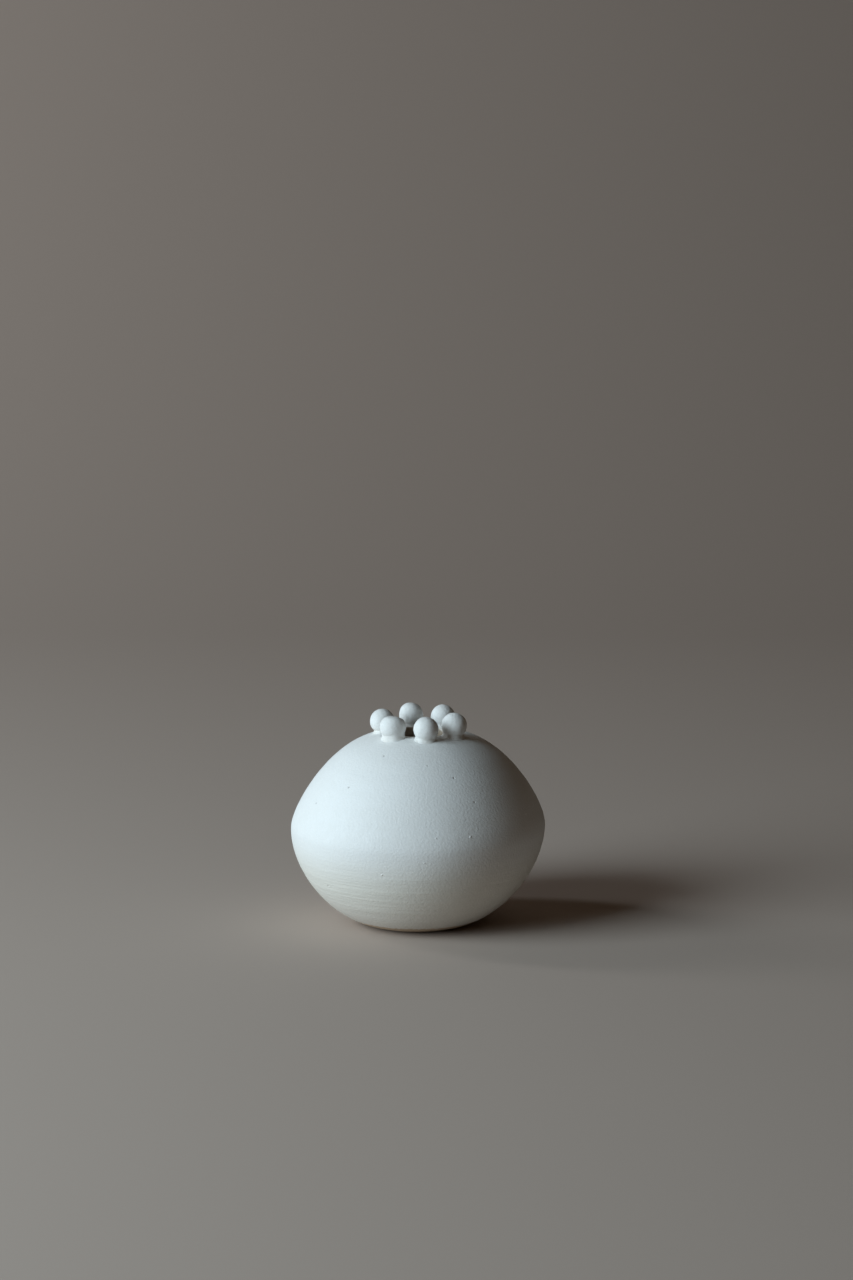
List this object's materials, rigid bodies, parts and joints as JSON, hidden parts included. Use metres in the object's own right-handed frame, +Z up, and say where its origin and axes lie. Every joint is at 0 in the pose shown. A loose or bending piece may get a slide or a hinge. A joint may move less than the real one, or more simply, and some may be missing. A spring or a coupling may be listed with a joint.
{
  "type": "flower frog",
  "caption": "Low round hollow ceramic bud vase with a small mouth ringed by clay beads that stand on the shoulder and hold flower stems upright.",
  "frame": {"origin": "centre of the flat base that the vase stands on", "axes": "+Z up along the axis of the thrown body; -Y is the front, with the narrow gap between the front and front left beads; +X is to the right of it"},
  "size_m": [0.11, 0.11, 0.093],
  "materials": {
    "body_clay": "matte off-white",
    "bead_clay": "matte off-white, hand rolled",
    "slip": "matte, slightly warm"
  },
  "bodies": {
    "root": {"vessel_body": "body_clay", "bead_left": "bead_clay", "bead_back": "bead_clay", "bead_back_right": "bead_clay", "bead_right": "bead_clay", "bead_front": "bead_clay", "bead_front_left": "bead_clay", "slip_join_left": "slip", "slip_join_back": "slip", "slip_join_back_right": "slip", "slip_join_right": "slip", "slip_join_front": "slip", "slip_join_front_left": "slip"}
  },
  "joints": []
}
